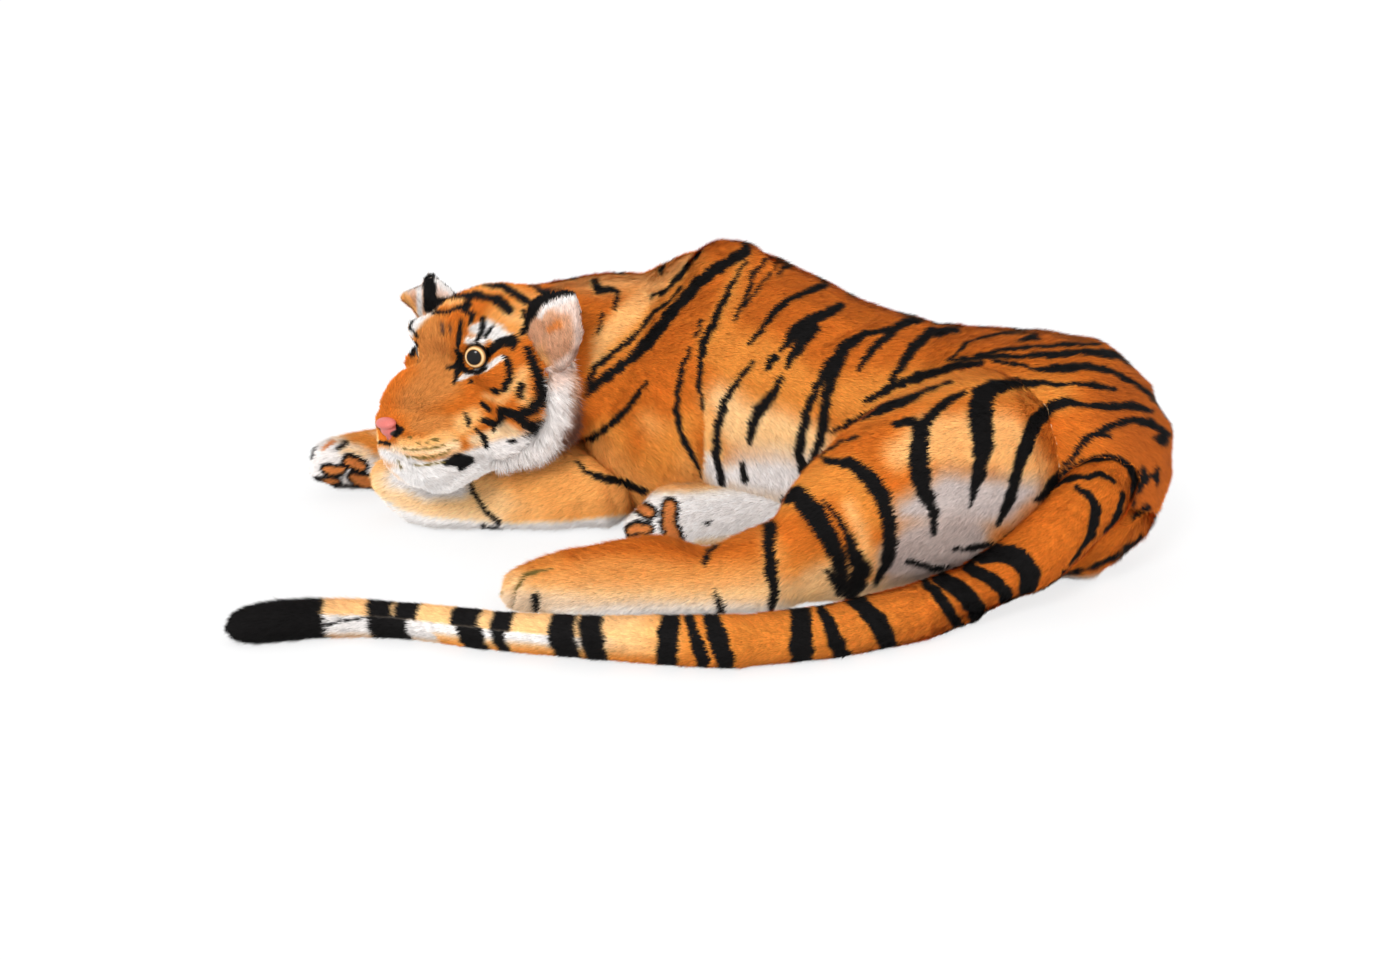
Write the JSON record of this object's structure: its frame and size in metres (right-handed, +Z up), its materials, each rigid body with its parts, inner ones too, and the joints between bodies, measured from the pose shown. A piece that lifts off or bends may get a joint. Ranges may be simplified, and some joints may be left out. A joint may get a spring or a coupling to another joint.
{
  "type": "plush tiger",
  "caption": "Large stuffed tiger lying down, head resting on one foreleg; head, ears and tail move.",
  "frame": {"origin": "on the floor, under the middle of the whole toy's bounding box", "axes": "+X runs along the body from the front paws towards the rump, +Y is the tiger's right side, away from its tail and turned face, +Z is up"},
  "size_m": [0.9836, 0.618, 0.3222],
  "materials": {
    "orange_plush": "short printed pile, orange with black stripes, cream below",
    "white_plush": "cream pile",
    "ear_plush": "short pile with longer tan hair inside",
    "black_plush": "black pile",
    "pink_nose": "smooth short pile",
    "amber_eye": "polished, painted from behind",
    "clear_washer": "moulded"
  },
  "bodies": {
    "torso": {"hips": "orange_plush", "left_forearm": "orange_plush", "left_forepaw": "orange_plush", "left_hind_paw": "orange_plush", "left_shank": "orange_plush", "left_shoulder": "orange_plush", "left_thigh": "orange_plush", "neck": "orange_plush", "right_forearm": "orange_plush", "right_forepaw": "orange_plush", "right_hind_paw": "white_plush", "right_shank": "white_plush", "right_shoulder": "orange_plush", "right_thigh": "orange_plush", "tail_root": "orange_plush", "trunk": "orange_plush"},
    "left_ear": {"left_ear": "ear_plush"},
    "right_ear": {"right_ear": "ear_plush"},
    "head": {"chin": "white_plush", "head": "orange_plush", "left_eye": "amber_eye", "left_eye_washer": "clear_washer", "left_ruff": "white_plush", "muzzle": "orange_plush", "nose": "pink_nose", "right_eye": "amber_eye", "right_eye_washer": "clear_washer", "right_ruff": "white_plush"},
    "tail_upper": {"tail_upper": "orange_plush"},
    "tail_middle": {"tail_middle": "orange_plush"},
    "tail_end": {"tail_lower": "orange_plush", "tail_tip": "black_plush"}
  },
  "joints": [
    {"name": "head_lift", "type": "hinge", "parent": "torso", "child": "head", "pos_m": [-0.2394, 0.1102, 0.199], "axis": [-0.6713, 0.7316, -0.1192], "range_deg": [0, 18], "stiffness_Nm_per_rad": 0.6},
    {"name": "left_ear_fold", "type": "hinge", "parent": "head", "child": "left_ear", "pos_m": [-0.20104, 0.04557, 0.23231], "axis": [0.4647, -0.2187, -0.858], "range_deg": [-15, 30], "stiffness_Nm_per_rad": 0.05},
    {"name": "right_ear_fold", "type": "hinge", "parent": "head", "child": "right_ear", "pos_m": [-0.31295, 0.1382, 0.23136], "axis": [0.0316, -0.3222, 0.9462], "range_deg": [-15, 30], "stiffness_Nm_per_rad": 0.05},
    {"name": "tail_upper_bend", "type": "hinge", "parent": "torso", "child": "tail_upper", "pos_m": [0.25214, -0.18057, 0.03008], "axis": [0, 0, 1], "range_deg": [-3, 25]},
    {"name": "tail_middle_bend", "type": "hinge", "parent": "tail_upper", "child": "tail_middle", "pos_m": [0.01844, -0.28157, 0.02615], "axis": [0, 0, 1], "range_deg": [-5, 25]},
    {"name": "tail_lower_bend", "type": "hinge", "parent": "tail_middle", "child": "tail_end", "pos_m": [-0.23165, -0.24581, 0.02058], "axis": [0, 0, 1], "range_deg": [-8, 30]}
  ]
}
